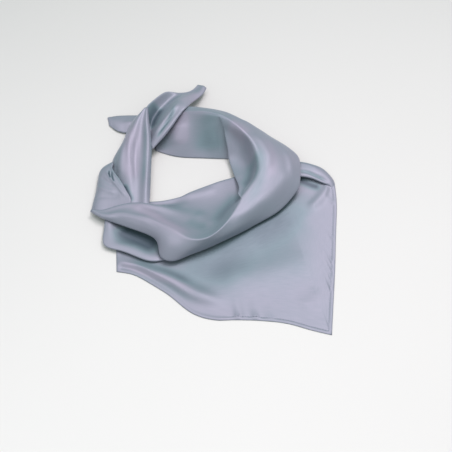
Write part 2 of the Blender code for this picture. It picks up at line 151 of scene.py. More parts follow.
def weave(table, knots, places, column_step=COLUMN_STEP, shared_edge=None):
    """A fine grid of points through a table: rows along the cloth, columns across it.

    shared_edge is (side, points): that side's column lies on these points, one for each row.
    """
    table = np.array(table, float)
    columns = [spline(knots, table[:, column], places) for column in range(table.shape[1])]
    sections = np.stack(columns, axis=1)
    if shared_edge is not None:
        side, points = shared_edge
        sections[:, side] = points
    spans = np.linalg.norm(np.diff(sections, axis=1), axis=2).mean(axis=0)
    parts = np.maximum(2, np.round(spans / column_step)).astype(int)
    rows = []
    for section in sections:
        across = distances(section)
        stops = [across[:1]]
        for place, count in enumerate(parts):
            stops.append(np.linspace(across[place], across[place + 1], count + 1)[1:])
        rows.append(spline(across, section, np.concatenate(stops)))
    return np.array(rows)


def grid_normals(grid):
    """Unit normal at each point of a grid, facing up on the whole."""
    normal = np.cross(np.gradient(grid, axis=0), np.gradient(grid, axis=1))
    normal /= np.maximum(np.linalg.norm(normal, axis=2, keepdims=True), 1e-9)
    return -normal if normal[:, :, 2].mean() < 0 else normal


halfway = spline([0, 1, 2], [[0], [1], [4]], [0.5, 1.5]).ravel()
print("a spline through 0, 1 and 4 reads", halfway.round(2), "halfway between them")

# %% [markdown]
# ## A folded edge
#
# Where the scarf is folded, the cloth turns through half a circle and runs back beneath itself.
# The turn is swept along the edge of a grid, and a few millimetres of cloth are tucked under it,
# so the edge looks round and shows no raw rim. It always drops by more than the cloth's own
# thickness, or the wall added later would poke through its top.

# %% Turn an edge under
LEAST_OPEN = 0.25
LEAST_DROP = 1.25 * CLOTH
TURN_STEPS = 7


def turned_edge(grid, side, radius=FOLD_RADIUS, tuck=TUCK, ease=0):
    """The half turn beyond one side of a grid, and the cloth tucked back beneath it.

    Over the first and last ease rows the turn opens up from almost flat, with no tuck.
    """
    normal = grid_normals(grid)
    opened = np.ones(len(grid))
    if ease:
        row = np.arange(len(grid))
        opened = smooth(np.clip(np.minimum(row, row[::-1]) / ease, LEAST_OPEN, 1))
    reach = (radius * opened)[:, None]
    drop = np.maximum(reach, LEAST_DROP)
    tuck = (tuck * opened ** 3)[:, None]
    edge, inner, up = (
        (grid[:, -1], grid[:, -3], normal[:, -1])
        if side == "last"
        else (grid[:, 0], grid[:, 2], normal[:, 0])
    )
    out = edge - inner
    out -= (out * up).sum(axis=1, keepdims=True) * up
    out /= np.linalg.norm(out, axis=1, keepdims=True)
    centre = edge - up * drop
    ring = [edge]
    for turn in np.linspace(0, math.pi, TURN_STEPS)[1:]:
        ring.append(centre + drop * up * math.cos(turn) + reach * out * math.sin(turn))
    for share in (0.5, 1.0):
        ring.append(ring[TURN_STEPS - 1] - out * tuck * share)
    band = np.stack(ring, axis=1)
    return band if side == "last" else band[:, ::-1]


print(f"folded edges turn with a radius of {FOLD_RADIUS} mm and at least {LEAST_DROP:.2f} mm")

# %% [markdown]
# ## Patches joined into one piece of cloth
#
# The ring can't be one grid: its inner layer slides under the right-hand fold, while its outer
# face runs on unbroken. So it is cut into patches that share their edge points, as a pattern is
# cut along a crease. Merging those points and relaxing the mesh a little rounds the crease off
# the way thick thread would. Each point keeps its distances along and across the cloth as UV,
# so the weave can follow the folds.

# %% Sew patches to one mesh
UV_UNIT = 100
MERGE = 0.00002


def even_out(made, verts, times):
    """Draw points towards their neighbours' middle a few times."""
    for _ in range(times):
        bmesh.ops.smooth_vert(made, verts=verts, factor=0.5, use_axis_x=True, use_axis_y=True,
                              use_axis_z=True)


def sew_patches(name, patches, relax=2):
    """One mesh from several (grid, along, across) patches that share their edge points."""
    made = bmesh.new()
    uv = made.loops.layers.uv.new("cloth")
    for grid, along, across in patches:
        rows, columns = grid.shape[:2]
        spread = np.concatenate([[0], np.cumsum(
            np.linalg.norm(np.diff(grid, axis=1), axis=2).mean(axis=0))]) + across
        placed = in_metres(grid)
        verts = [[made.verts.new(placed[row, column]) for column in range(columns)]
                 for row in range(rows)]
        for row in range(rows - 1):
            for column in range(columns - 1):
                corners = ((row, column), (row + 1, column), (row + 1, column + 1),
                           (row, column + 1))
                face = made.faces.new([verts[r][c] for r, c in corners])
                for loop, (r, c) in zip(face.loops, corners):
                    loop[uv].uv = (along[r] / UV_UNIT, spread[c] / UV_UNIT)
    bmesh.ops.remove_doubles(made, verts=made.verts, dist=MERGE)
    even_out(made, [vert for vert in made.verts if not vert.is_boundary], relax)
    made.normal_update()
    if sum(face.normal.z * face.calc_area() for face in made.faces) < 0:
        bmesh.ops.reverse_faces(made, faces=made.faces)
    mesh = bpy.data.meshes.new(name)
    made.to_mesh(mesh)
    made.free()
    mesh.shade_smooth()
    return new_object(name, mesh)


# %% [markdown]
# ## Creases
#
# A crease is a soft trough or ridge along a drawn line. A painted displacement picture could
# make it too, but a line of a few points is shorter to write and simple to move. The cloth moves
# along its own normals by a bell curve across the line, which fades out at both ends.

# %% Creases pressed into a cloth
FADE_RATE = 4


def taper(share):
    """1 along the middle of a crease, easing to 0 at both ends."""
    return smooth(np.clip(np.minimum(share, 1 - share) * FADE_RATE, 0, 1))


def crease_rise(flat, creases):
    """Height that creases give to points in plan: each is (line, half width, height)."""
    rise = np.zeros(len(flat))
    for line, half_width, height in creases:
        line = np.array(line, float)
        length = distances(line)
        dense = spline(length, line, np.linspace(0, length[-1], 40))
        gap = np.full(len(flat), 1e9)
        share = np.zeros(len(flat))
        for place, (start, end) in enumerate(zip(dense[:-1], dense[1:])):
            span = end - start
            along = np.clip(((flat - start) @ span) / (span @ span), 0, 1)
            away = np.linalg.norm(flat - start - along[:, None] * span, axis=1)
            nearer = away < gap
            gap[nearer] = away[nearer]
            share[nearer] = ((place + along) / (len(dense) - 1))[nearer]
        rise += height * np.exp(-(gap / half_width) ** 2) * taper(share)
    return rise


def press_creases(piece, creases):
    """Raise or sink a piece along its creases, by its own normals."""
    mesh = piece.data
    points = table_points(mesh)
    normals = np.empty(len(mesh.vertices) * 3)
    mesh.vertices.foreach_get("normal", normals)
    rise = crease_rise(points[:, :2], creases)
    moved = points + normals.reshape(-1, 3) * rise[:, None]
    mesh.vertices.foreach_set("co", in_metres(moved).reshape(-1))
    mesh.update()


print(f"a crease is at its full height from {1 / FADE_RATE:.0%} to {1 - 1 / FADE_RATE:.0%}")


# %% Soften a part, give a sheet its thickness, and report what a piece came to
def soften(piece, wanted, times):
    """Even out the points of a piece that are wanted, by their place in the table's frame."""
    made = bmesh.new()
    made.from_mesh(piece.data)
    chosen = [vert for vert in made.verts
              if wanted(np.array(vert.co) / TO_METRES + MIDDLE) and not vert.is_boundary]
    even_out(made, chosen, times)
    made.to_mesh(piece.data)
    made.free()


def give_wall(piece):
    """Give a sheet its thickness, beneath the face that shows."""
    solid = piece.modifiers.new("Wall", "SOLIDIFY")
    solid.thickness = CLOTH * TO_METRES
    solid.offset = -1.0
    solid.use_even_offset = False
    solid.use_quality_normals = True
    with bpy.context.temp_override(object=piece, active_object=piece):
        bpy.ops.object.modifier_apply(modifier=solid.name)
    for vert in piece.data.vertices:
        vert.co.z = max(vert.co.z, 0.0)


def report(piece):
    """Print what a piece came to."""
    mesh = piece.data
    mesh.calc_loop_triangles()
    low = np.min([corner[:] for corner in piece.bound_box], axis=0)
    high = np.max([corner[:] for corner in piece.bound_box], axis=0)
    size = " x ".join(f"{1000 * side:.0f}" for side in high - low)
    print(f"{piece.name}: {len(mesh.loop_triangles)} triangles, {size} mm")
    return piece


# %% [markdown]
# ## The ring's tables
#
# Each row is a section across the band, from the neck opening outwards, and the columns are
# the lines that the eye follows: the lip at the opening, the trough inside the cowl, its crest,
# the shoulder and the foot on the table.

# %% The outer face: crest, shoulder and foot all the way round
OUTER_FRONT = (
    ((-148, -7, 10), (-149, -7.5, 9), (-149.5, -8, 7)),
    ((-138, -13.5, 11.5), (-139, -15.8, 10.5), (-139.5, -16, 8)),
    ((-127.5, -15.5, 13), (-128.5, -20.5, 12), (-129, -21.5, 8.5)),
    ((-114.5, -14.5, 15), (-116.5, -22, 13), (-118, -25.3, 9)),
    ((-97, -19, 17.5), (-99.5, -28.5, 15), (-101, -33, 10)),
    ((-79.5, -26, 20), (-81, -37, 17), (-81.5, -42, 11)),
    ((-63.5, -36.4, 22), (-66.5, -48.6, 18), (-67.5, -54.7, 11)),
    ((-48.5, -46.3, 24), (-54.5, -64, 20), (-62, -74.3, 9)),
    ((-37.5, -54.5, 25), (-42, -69.3, 19), (-48, -79.2, 8.5)),
    ((-24, -61, 26), (-27, -68.6, 18), (-31, -72.4, 8)),
    ((-9, -59.5, 26.5), (-10, -62.6, 18), (-12, -63.7, 8)),
    ((6, -48, 27), (9, -52.3, 19), (12, -50.7, 8)),
    ((19, -29.3, 27.5), (27, -37.7, 21), (33, -38.2, 8)),
)
OUTER_RIGHT = (
    ((31, -4.5, 28.5), (45, -19, 23), (54.5, -23.6, 8)),
    ((37.5, 7.4, 29.5), (57, -4.8, 24), (71.5, -12.3, 9)),
    ((45, 20.7, 30.5), (67, 7.5, 25), (84.5, 0, 10)),
    ((49.5, 29.8, 32.5), (75, 21, 27), (96.5, 15, 13)),
    ((51.5, 39.5, 33.5), (79, 35.4, 28), (102.5, 27, 16)),
    ((51, 48, 34.5), (79, 47.7, 29), (104, 40, 17)),
    ((49, 59, 36), (77, 59.4, 29.5), (104.3, 54.5, 16.5)),
    ((46, 70.8, 37.5), (72, 73.7, 29), (103, 70.7, 14)),
    ((41, 81.7, 39), (65, 86.7, 29), (95.5, 84.5, 10)),
    ((33, 93, 40), (55.5, 97.7, 29), (82.5, 96.6, 7)),
    ((23, 103.3, 41), (43.5, 106.8, 31), (69, 108, 5)),
)
OUTER_BACK = (
    ((10, 115, 40.5), (22, 122, 32), (44, 128, 4)),
    ((-1, 119, 40), (4, 129.5, 32), (16, 139, 4)),
    ((-18, 124, 38), (-17, 134, 32), (-13, 146, 4)),
    ((-36, 129, 30.5), (-36, 138, 27.5), (-35, 149, 4)),
    ((-55, 133, 21.5), (-56, 141, 19), (-57, 149, 4)),
    ((-73, 134, 14), (-74, 142, 12), (-75, 148, 4)),
)
OUTER = OUTER_FRONT + OUTER_RIGHT + OUTER_BACK
FRONT_ROWS = len(OUTER_FRONT) + 1
BACK_START = len(OUTER_FRONT) + len(OUTER_RIGHT) - 1
print("the outer face is drawn with", len(OUTER), "rows of", len(OUTER[0]), "points")

# %% The inner faces: the front's hollow, the right's and back's hollow, and the back's wall
INNER_FRONT = (
    ((-144.5, -4.5, 5), (-145, -5, 6.5), (-146, -6, 9.5), (-147, -6.5, 10)),
    ((-135.5, -4.5, 5), (-136, -6.5, 6.5), (-136.5, -8, 10.5), (-137, -10.5, 11)),
    ((-124, -1, 5), (-124.5, -3, 6.5), (-125, -4.8, 11.5), (-126, -10, 12.2)),
    ((-110, 3.5, 5), (-111, 1, 7), (-111.5, -1, 13), (-112.5, -7, 13.6)),
    ((-92, 8, 4), (-93, 4, 7), (-94, 1, 14), (-95, -6.8, 15)),
    ((-78, 8, 5), (-78, 3, 6), (-77.5, -0.5, 13.5), (-78, -9, 14.5)),
    ((-63, 9, 5), (-62.5, 2, 5), (-60.5, -3.5, 12.5), (-60.5, -13.4, 14)),
    ((-47.5, 12.7, 5.5), (-47, 4, 5.2), (-46, -5.5, 11), (-46, -17.7, 13.5)),
    ((-40, 15.3, 6), (-40, 7, 5.8), (-37, -6, 9.6), (-36, -23, 13.2)),
    ((-28, 21.8, 6.5), (-27, 12, 6.2), (-24, -6.2, 8.6), (-22, -29, 13.2)),
    ((-15.5, 27.6, 7), (-14, 18, 6.6), (-10, -5, 8.2), (-7, -28, 13.6)),
    ((0, 34.4, 7.5), (3, 24, 7), (8, 0.7, 8.4), (7, -19, 14)),
    ((13, 40, 7), (16, 30, 7), (20, 9, 8.8), (17, -9, 15)),
    ((30, 47, 6.5), (32, 36, 7), (33, 21, 8.6), (31, 7, 15)),
    ((36, 52, 6), (39, 43, 6.5), (41, 30, 8), (39, 17, 14)),
)
INNER_RIGHT = (
    ((28, 4, 27.5), (30, 0, 28)),
    ((30, 18, 21), (33, 14, 22)),
    ((28.5, 32, 15), (37, 30, 16)),
    ((25, 44.7, 11), (37, 45, 12)),
    ((21.5, 59, 8), (37, 58, 10)),
    ((18, 72, 8), (35, 70, 11)),
    ((17, 81, 14), (32, 80, 15)),
    ((14.5, 90.6, 22), (29, 89, 22)),
    ((12, 99.7, 29), (24, 95, 30)),
    ((9, 106, 35), (19, 100.5, 36.5)),
    ((6.5, 111.7, 39), (14, 108, 40)),
    ((3, 114.5, 38.7), (6, 115, 39.6)),
    ((-3, 116, 38), (-2, 117.5, 39)),
    ((-19, 120.5, 35.5), (-18.5, 122.2, 36.8)),
    ((-37, 125.4, 28.5), (-36.5, 127.2, 29.6)),
    ((-55, 129, 20), (-55, 131, 20.8)),
    ((-72, 129.5, 13), (-72.5, 131.8, 13.6)),
)
BACK_WALL = (
    ((24, 77, 0.8), (18, 92, 14), (12, 106.5, 33)),
    ((14, 77.5, 0.8), (10.5, 94, 16), (7.6, 112, 38)),
    ((8, 77.7, 0.8), (5, 95, 15.5), (3, 114.5, 38.7)),
    ((0, 78, 0.8), (-2, 96, 16), (-3, 116, 38)),
    ((-20, 79, 0.8), (-20, 100.5, 15.5), (-19, 120.5, 35.5)),
    ((-40, 80, 0.8), (-39, 99.5, 15.5), (-37, 125.4, 28.5)),
    ((-58, 84, 0.8), (-57, 104.5, 11.5), (-55, 129, 20)),
    ((-75, 91, 0.8), (-74, 110, 6.5), (-72, 129.5, 13)),
)
print("the inner faces are drawn with", len(INNER_FRONT), "rows in front,", len(INNER_RIGHT),
      "round the right and", len(BACK_WALL), "on the back's wall")

# %% Lay the ring
BENEATH_LIP = 9.0
LIP_DROP = (-1.0, 1.2, -1.6)
LIP_MARGIN = 8.0
MEETING = 10.0
WALL_START = 12.0
TIP = (-128, 4)
knots = row_knots(OUTER)
places = row_places(knots[0], knots[-1])
outer = weave(OUTER, knots, places)
crest = outer[:, 0]

turn = knots[FRONT_ROWS - 1]
near = places <= turn + BENEATH_LIP
far = places >= turn - ROW_STEP / 2
front_table = [inside + (across[0],) for inside, across in zip(INNER_FRONT, OUTER)]
under_crest = crest[near].copy()
beneath = np.clip((places[near] - turn) / BENEATH_LIP, 0, 1)
under_crest += beneath[:, None] * LIP_DROP
front_inner = weave(front_table, knots[:FRONT_ROWS + 1], places[near],
                    shared_edge=(-1, under_crest))
right_table = [
    inside + (across[0],) for inside, across in zip(INNER_RIGHT, OUTER[FRONT_ROWS - 1:])
]
right_inner = weave(right_table, knots[FRONT_ROWS - 1:], places[far],
                    shared_edge=(-1, crest[far]))

back_knots = np.concatenate([[knots[BACK_START] - WALL_START], knots[BACK_START:]])
back_places = places[places >= back_knots[0]]
lip = right_inner[len(right_inner) - len(back_places):, 0]
hidden_top = weave(BACK_WALL, back_knots, back_places)[:, -1]
hidden = np.clip((knots[BACK_START + 1] - back_places) / MEETING, 0, 1)[:, None]
top = lip + hidden * (hidden_top - lip)
back_wall = weave(BACK_WALL, back_knots, back_places, shared_edge=(-1, top))

tucked = (places > turn + LIP_MARGIN) & (places < knots[BACK_START + 1] - LIP_MARGIN)
lip_rows = right_inner[tucked[far]]
ring_patches = [
    (outer, places, 0.0),
    (turned_edge(outer, "last", ease=14), places, 60.0),
    (front_inner, places[near], -60.0),
    (turned_edge(front_inner, "first", radius=1.5, ease=12), places[near], -70.0),
    (right_inner, places[far], -60.0),
    (turned_edge(lip_rows, "first", radius=1.2, ease=9), places[tucked], -70.0),
    (back_wall, back_places, -110.0),
]
ring = sew_patches("ring_cloth", ring_patches, relax=3)
soften(ring, lambda spot: spot[0] < TIP[0] and spot[1] < TIP[1], times=10)
print("ring:", outer.shape, front_inner.shape, right_inner.shape, back_wall.shape)
report(ring)

# %% [markdown]
# ## The corner spread out in front
#
# This is the one place where the scarf lies in a single layer, so its edges tell what it is. The
# lower left edge is only folded over, soft and round. The lower and right edges are sewn: the
# cloth is turned over about 5 mm, stitched near its inner side, and drawn up a little by the
# thread. The panel is a grid between the ring and the outer line, and its edges are strips
# carried on outwards from that line, so the cloth stays one piece.

# %% The panel's outline and its soft folds
PANEL_LEFT = (
    ((-111, -44), (-108.5, -84.5)), ((-92, -46), (-92, -88.5)), ((-71, -54), (-69, -102.5)),
    ((-46, -60), (-45, -120.5)), ((-26, -56), (-22, -141)), ((-5, -48), (4, -149.5)),
    ((14, -34), (33, -150.5)), ((36, -22), (61, -152)), ((53, -8), (87, -156)),
    ((70, 6), (110, -163.5)), ((84, 19), (129.5, -169)),
)
PANEL_RIGHT = (
    ((84, 19), (129.5, -169)), ((89, 28), (133.5, -125)), ((92, 38), (137.5, -80)),
    ((94, 47), (141, -30)), ((97, 56), (143.8, 14)), ((104, 66), (142.6, 41)),
)
PANEL_FOLDS = (
    (((-120, -58), (-113, -72), (-104, -83), (-87, -89), (-69, -95), (-51, -103), (-34, -114),
      (-16, -123), (2, -131), (20, -137)), 10.5, 3.8),
    (((-50, -66), (-24, -70), (10, -58), (34, -42), (64, -20), (92, 6), (110, 30)), 19.0, 2.0),
    (((-10, -98), (36, -98), (84, -84), (126, -60)), 22.0, 1.6),
    (((112, -2), (126, 14), (136, 28), (148, 44)), 6.0, 1.6),
    (((96, -140), (112, -132), (128, -112)), 10.0, 0.6),
)
LYING = 0.75
LOWEST = LYING - 0.1
PANEL_STEP = 1.6
PANEL_COLUMNS = 84
EDGE_RATE = 5
HEM_START = 6.0
HEM_BLEND = 14.0
FOLD_PROFILE = ((0, 0.75), (0.2, 0.9), (0.42, 1.15), (0.65, 1.35), (0.85, 1.3), (0.96, 1.0),
                (1, 0.6))
HEM_PROFILE = ((0, 0.75), (0.09, 0.7), (0.2, 0.92), (0.5, 1.1), (0.82, 1.0), (0.95, 0.8),
               (1, 0.6))
EDGE_FOLD_WIDTH = 6.0


def panel_part(outline):
    """The panel's grid between the ring and the outer line."""
    table = np.array([[(x, y, LYING) for x, y in row] for row in outline], float)
    along = distances(table.reshape(len(table), -1) / math.sqrt(2))
    places = np.linspace(0, along[-1], round(along[-1] / PANEL_STEP) + 1)
    inner = spline(along, table[:, 0], places)
    outer = spline(along, table[:, 1], places)
    share = np.linspace(0, 1, PANEL_COLUMNS)[None, :, None]
    grid = inner[:, None] * (1 - share) + outer[:, None] * share
    fade = smooth(np.minimum(1, (1 - share) * EDGE_RATE)[:, :, 0])
    rise = crease_rise(grid[:, :, :2].reshape(-1, 2), PANEL_FOLDS).reshape(grid.shape[:2])
    grid[:, :, 2] = LYING + np.maximum(rise, 0) * fade
    return grid


panel_left = panel_part(PANEL_LEFT)
panel = np.concatenate([panel_left, panel_part(PANEL_RIGHT)[1:]])
print("panel grid", panel.shape)

# %% [markdown]
# A sewn edge is never quite flat. The thread draws it up, so short puckers run in from the
# stitches and die out within a finger's width. They are uneven in length, depth and spacing, so
# they come from a seeded list and not from a wave.

# %% Puckers along the sewn edges, and the hem itself
PUCKER_REACH = 8.0
PUCKER_HALF_WIDTH = (1.8, 3.6)
LOWER_PUCKERS_X = (20, 78)
RIGHT_MARGIN = 4


def puckers(length, first, last, count, depth, seed):
    """Uneven rises along an edge between two places on it."""
    chance = np.random.default_rng(seed)
    rise = np.zeros_like(length)
    for centre in chance.uniform(first, last, count):
        width = chance.uniform(*PUCKER_HALF_WIDTH)
        height = depth * chance.uniform(0.35, 1.0) * chance.choice((-0.6, 1.0))
        rise += height * np.exp(-((length - centre) / width) ** 2)
    return rise


def beside(path):
    """The mitred direction to the right-hand side of a path, point by point."""
    ahead = np.diff(path[:, :2], axis=0)
    ahead /= np.linalg.norm(ahead, axis=1, keepdims=True)
    side = np.stack([ahead[:, 1], -ahead[:, 0]], axis=1)
    before = np.concatenate([side[:1], side])
    after = np.concatenate([side, side[-1:]])
    return (before + after) / (1 + (before * after).sum(axis=1, keepdims=True))


def edge_strip(path, direction, sewn):
    """Columns carried outwards from a path: a folded edge where sewn is 0, a hem where it is 1."""
    fold = np.array(FOLD_PROFILE)
    hem = np.array(HEM_PROFILE)
    columns = []
    for (fold_out, fold_up), (hem_out, hem_up) in zip(fold, hem):
        out = fold_out * EDGE_FOLD_WIDTH * (1 - sewn) + hem_out * HEM_WIDTH * sewn
        up = fold_up * (1 - sewn) + hem_up * sewn
        flat = path[:, :2] + direction * out[:, None]
        rise = (path[:, 2] - LYING) * (1 - max(fold_out, hem_out))
        columns.append(np.column_stack([flat, up + rise]))
    return np.stack(columns, axis=1)


edge = panel[:, -1]
edge_length = distances(edge)
first, last = (edge_length[np.argmax(edge[:, 0] > x)] for x in LOWER_PUCKERS_X)
rise = puckers(edge_length, first, last, count=13, depth=0.8, seed=3)
corner_place = edge_length[len(panel_left) - 1]
rise += puckers(edge_length, corner_place + RIGHT_MARGIN, edge_length[-1] - RIGHT_MARGIN,
                count=26, depth=0.9, seed=8)
reach = np.linalg.norm(panel - edge[:, None], axis=2)
panel[:, :, 2] += rise[:, None] * np.exp(-reach / PUCKER_REACH)
panel[:, :, 2] = np.maximum(panel[:, :, 2], LOWEST)

side_path = panel[0]
whole_path = np.concatenate([side_path, panel[1:, -1]])
directions = beside(whole_path)
sewn = np.clip((whole_path[:, 0] - HEM_START) / HEM_BLEND, 0, 1)
strip = edge_strip(whole_path, directions, sewn)
columns = panel.shape[1]
panel_grid = np.concatenate([panel, strip[columns - 1:, 1:]], axis=1)
panel_cloth = sew_patches("panel_cloth", [
    (panel_grid, edge_length, 0.0),
    (strip[:columns], distances(side_path), 200.0),
], relax=1)
report(panel_cloth)

# %% [markdown]
# ## The other layers
#
# The roll at the panel's far right, the fold under the front, the left of the ring with its
# lengthwise ridges, the layer that wraps the left corner, and the two ends.

# %% Tables of the smaller layers
LEFT = (
    ((-91.5, 136.5, 23), (-90, 137, 26), (-88, 138, 28.3), (-86.8, 138.2, 28.1),
     (-85.6, 138.2, 28.4), (-84, 138, 26.5)),
    ((-106, 124, 14), (-101.5, 123, 22), (-95, 122, 27.5), (-89.5, 121, 25.8),
     (-85.5, 120.5, 27.6), (-82.5, 120.5, 25)),
    ((-116.5, 99, 4), (-113.5, 98, 13.5), (-103, 96, 21.5), (-91, 94.5, 17.5), (-83, 94, 21),
     (-79, 93.5, 17.5)),
    ((-126.5, 76, 3), (-123, 73, 9.5), (-107, 71, 15), (-91.5, 70, 12), (-82.5, 70, 14.5),
     (-78.5, 70, 11)),
    ((-127, 48, 4), (-121, 48, 8), (-105, 47, 13.5), (-91.5, 47, 10.5), (-83, 47, 13.5),
     (-78.5, 47, 9.5)),
    ((-121.5, 26, 4.5), (-114.5, 26, 7.5), (-102.5, 26, 12), (-91, 26, 10), (-83.5, 26, 13),
     (-78.5, 26, 9)),
    ((-116, 0, 7), (-110, 0, 7.4), (-100, -1, 8.2), (-91, -1.5, 7.2), (-84, -1.5, 8.2),
     (-79, -1.5, 7)),
)
CORNER = (
    ((-129, 69, 3.5), (-128, 67.5, 7), (-126.5, 65.5, 9.5), (-125, 63, 10.2)),
    ((-140, 59, 2.5), (-138.8, 58, 7.5), (-133, 55, 11.5), (-126, 52, 12.2)),
    ((-143.5, 44, 2), (-142.2, 43.5, 8), (-131, 39.5, 12.8), (-118, 37.8, 13)),
    ((-144.8, 25, 2), (-143.4, 24.5, 8), (-127, 21.5, 12.6), (-108.5, 20.5, 13.2)),
    ((-147.5, 9.5, 2), (-146, 9.5, 6.8), (-128, 8, 10.8), (-102.5, 8.5, 12.4)),
    ((-149.2, -4, 2), (-148, -5, 5), (-131, -7.5, 8.4), (-101.5, -1, 10.4)),
)
UPPER_TAIL = (
    ((-84, 101, 15.5), (-82, 95.5, 13), (-80, 89, 15), (-78, 84, 14)),
    ((-85, 117.5, 21.3), (-81, 112.3, 15.5), (-71, 99.8, 23), (-65, 96.6, 22)),
    ((-85.5, 136.5, 26.3), (-78.5, 132, 15.5), (-64, 118, 27.5), (-52, 115.1, 28)),
    ((-77.5, 149.6, 26), (-70, 146, 16), (-57, 133.5, 30.5), (-43, 127.6, 32)),
    ((-64.5, 166.2, 22.5), (-58, 162, 15.5), (-47.5, 150.5, 28.5), (-35, 139.1, 31)),
    ((-56.5, 171.5, 19.5), (-49, 168, 16.5), (-40, 161.6, 22), (-29, 154.6, 22)),
    ((-46.5, 174, 15), (-39, 172.2, 14.2), (-31, 169.8, 16.8), (-21, 168, 15)),
    ((-32, 179.8, 11.5), (-27, 179.8, 11.4), (-21, 177.9, 13.2), (-15.5, 177.6, 12)),
    ((-22, 192.7, 9), (-19, 192, 9), (-15, 190, 10.2), (-12, 188.2, 9)),
)
LEFT_TAIL = (
    ((-72.6, 129.3, 12.6), (-73.6, 135, 13.8), (-75, 143.5, 10.5)),
    ((-84, 124, 8.5), (-85, 133.5, 10.5), (-86, 143.5, 7.5)),
    ((-100, 117.5, 4), (-100.5, 132, 7), (-101, 145.5, 4)),
    ((-116, 118.3, 2.5), (-117, 131, 5.5), (-117.5, 146, 3)),
    ((-126, 122.8, 2.2), (-127, 134, 4.5), (-127.5, 145.4, 2.5)),
    ((-131.5, 128, 1.6), (-132.3, 137, 3), (-132.7, 144.8, 1.8)),
)
UNDER_LAYER = (
    ((-116, -6, 2.6), (-120, -10, 2.6), (-126, -14, 6.2), (-131, -17, 6)),
    ((-101, -15, 2.4), (-116, -26, 2.4), (-125.5, -31.5, 6.4), (-131.3, -35, 6.2)),
    ((-86, -26, 2.2), (-106, -42, 2.3), (-121, -50.5, 6.2), (-128.6, -55.5, 6.2)),
    ((-76, -32, 2.2), (-92, -49, 2.3), (-105, -56.5, 6), (-111, -62, 6)),
    ((-64, -40, 2.2), (-78, -56, 2.4), (-86.5, -65, 5.8), (-90, -71, 5.8)),
    ((-56, -48, 2.2), (-66, -61, 2.6), (-71, -71, 5.2), (-73, -76.5, 5.2)),
    ((-47, -54, 2.2), (-50, -62, 2.8), (-52.5, -68.5, 3.6), (-54, -72.5, 3.6)),
)
PANEL_ROLL = (
    ((99, 72, 1.3), (99.5, 69, 6.5), (99.5, 60, 8.6), (99, 47, 7.6)),
    ((108, 71, 1.3), (107.5, 68, 7), (107, 59, 9), (106.5, 46.5, 7.6)),
    ((121, 68, 1.3), (120, 64.7, 6.5), (119, 55, 8.2), (118, 45, 6.6)),
    ((133, 62.5, 1.3), (131.5, 59.4, 5.6), (130, 50, 7), (128.5, 40.5, 5.6)),
    ((141.5, 52.5, 1.3), (139.8, 50.4, 4.4), (138, 44.4, 5.4), (136.6, 37.5, 4.2)),
    ((146.4, 43, 1.2), (145.2, 41.4, 2.6), (143.6, 38.4, 3.1), (142, 35.4, 2.4)),
    ((147.6, 35.5, 0.6), (146.8, 34.5, 0.6), (145.6, 33, 0.6), (144.4, 31.5, 0.6)),
)
print("the left corner is drawn with", len(CORNER), "rows and the right roll with",
      len(PANEL_ROLL))

# %% Lay the smaller layers
LAYER_TUCK = 4.0
TAIL_HEM_LIFT = 0.35


def layer_grid(table, fine=1):
    """A layer's grid and its distances along: fine is how many times closer its points are."""
    knots = row_knots(table)
    places = row_places(knots[0], knots[-1])
    places = np.linspace(places[0], places[-1], (len(places) - 1) * fine + 1)
    grid = weave(table, knots, places, column_step=COLUMN_STEP / fine)
    return grid, distances(grid[:, grid.shape[1] // 2])


def layer(name, table, first=None, last=None, ease=0, fine=1):
    """A layer through its table, with its long edges turned under where a radius is given."""
    grid, along = layer_grid(table, fine)
    patches = [(grid, along, 0.0)]
    for side, radius, across in (("first", first, -10.0), ("last", last, 150.0)):
        if radius is not None:
            patches.append((turned_edge(grid, side, radius, LAYER_TUCK, ease), along, across))
    return report(sew_patches(name, patches))


roll_cloth = layer("roll_cloth", PANEL_ROLL, last=1.4)
under_cloth = layer("under_cloth", UNDER_LAYER, last=1.2)
left_cloth = layer("left_cloth", LEFT, first=1.3, last=1.5, ease=10)
corner_cloth = layer("corner_cloth", CORNER, last=1.2, ease=12, fine=2)
upper_tail_cloth = layer("upper_tail_cloth", UPPER_TAIL, first=1.2, last=1.5)

tail, _ = layer_grid(LEFT_TAIL)
end_path = tail[-1]
outwards = tail[-1, :, :2] - tail[-3, :, :2]
outwards /= np.linalg.norm(outwards, axis=1, keepdims=True)
end_rows = []
for share, up in HEM_PROFILE[1:]:
    flat = end_path[:, :2] + outwards * share * HEM_WIDTH
    height = end_path[:, 2] * (1 - share) + up * share + TAIL_HEM_LIFT
    end_rows.append(np.column_stack([flat, height]))
tail = np.concatenate([tail, np.array(end_rows)])
tail_along = distances(tail[:, tail.shape[1] // 2])
left_tail_cloth = report(sew_patches("left_tail_cloth", [(tail, tail_along, 0.0)], relax=1))
